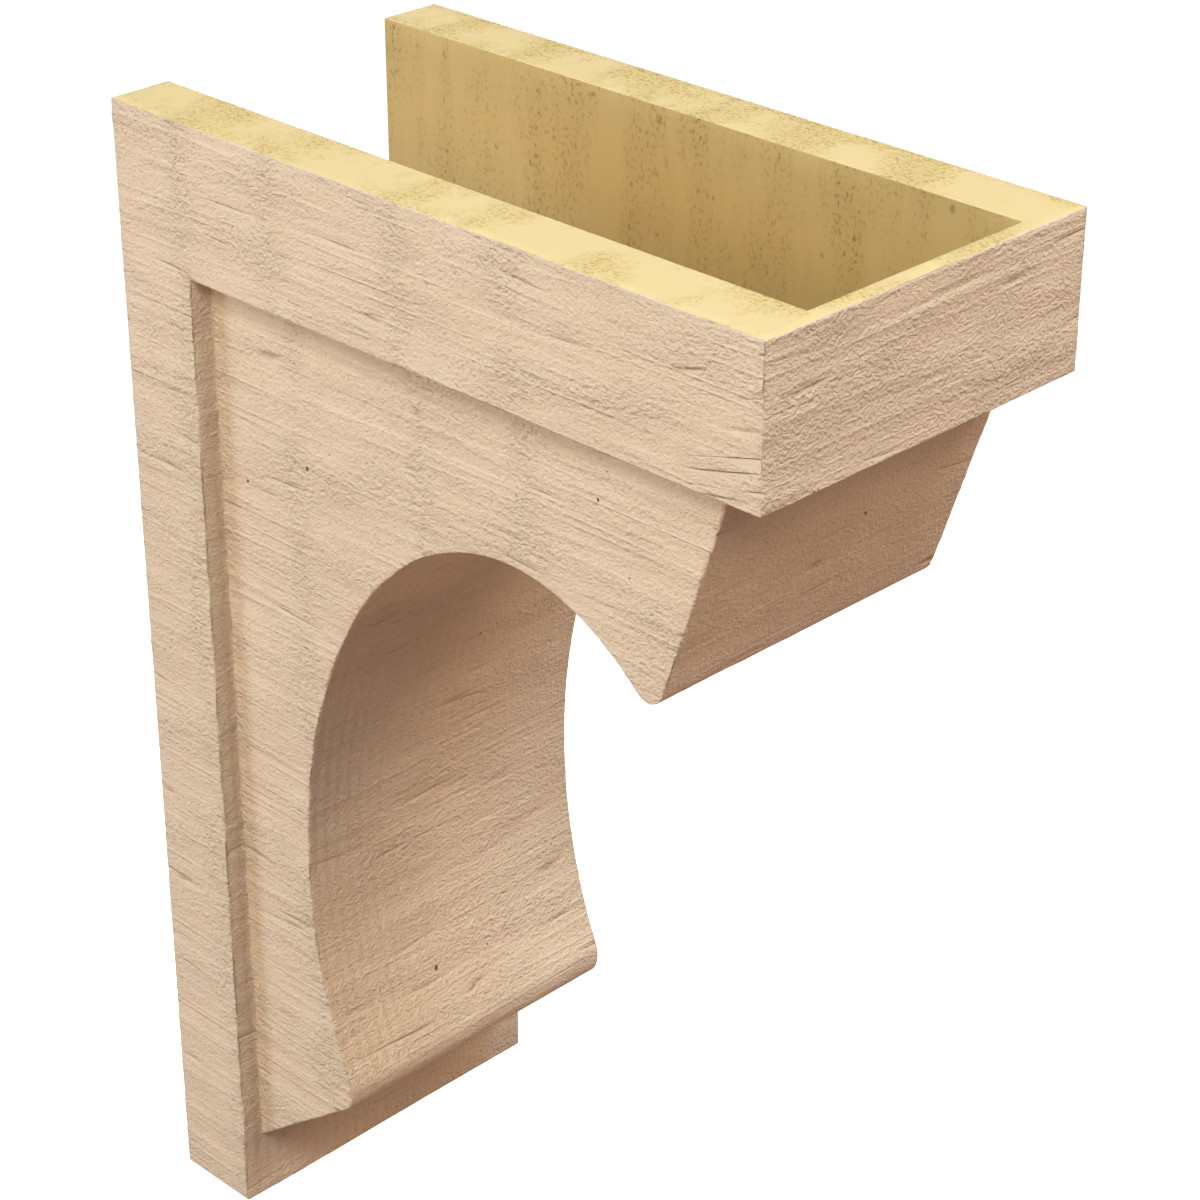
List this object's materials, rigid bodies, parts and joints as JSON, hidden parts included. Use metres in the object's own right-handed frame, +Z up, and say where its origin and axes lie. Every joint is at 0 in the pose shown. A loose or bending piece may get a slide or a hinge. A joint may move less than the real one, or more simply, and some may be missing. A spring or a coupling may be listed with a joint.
{
  "type": "corbel",
  "caption": "Hollow wall corbel with a full-width cap and backboard, a narrower body cut by a deep arch between rounded noses, and a rough-sawn wood-look skin.",
  "frame": {"origin": "on the wall face, at the middle of the rail that closes the hollow at the foot", "axes": "+Z up; +Y out of the back, towards the wall; -Y out from the wall towards the front; +X across the corbel"},
  "size_m": [0.1524, 0.3048, 0.4572],
  "materials": {
    "primed_skin": "tan primer on a moulded rough-sawn wood grain, with the cut top, the wall side and the hollow left as bare yellow polyurethane foam"
  },
  "bodies": {
    "root": {"corbel_casting": "primed_skin"}
  },
  "joints": []
}
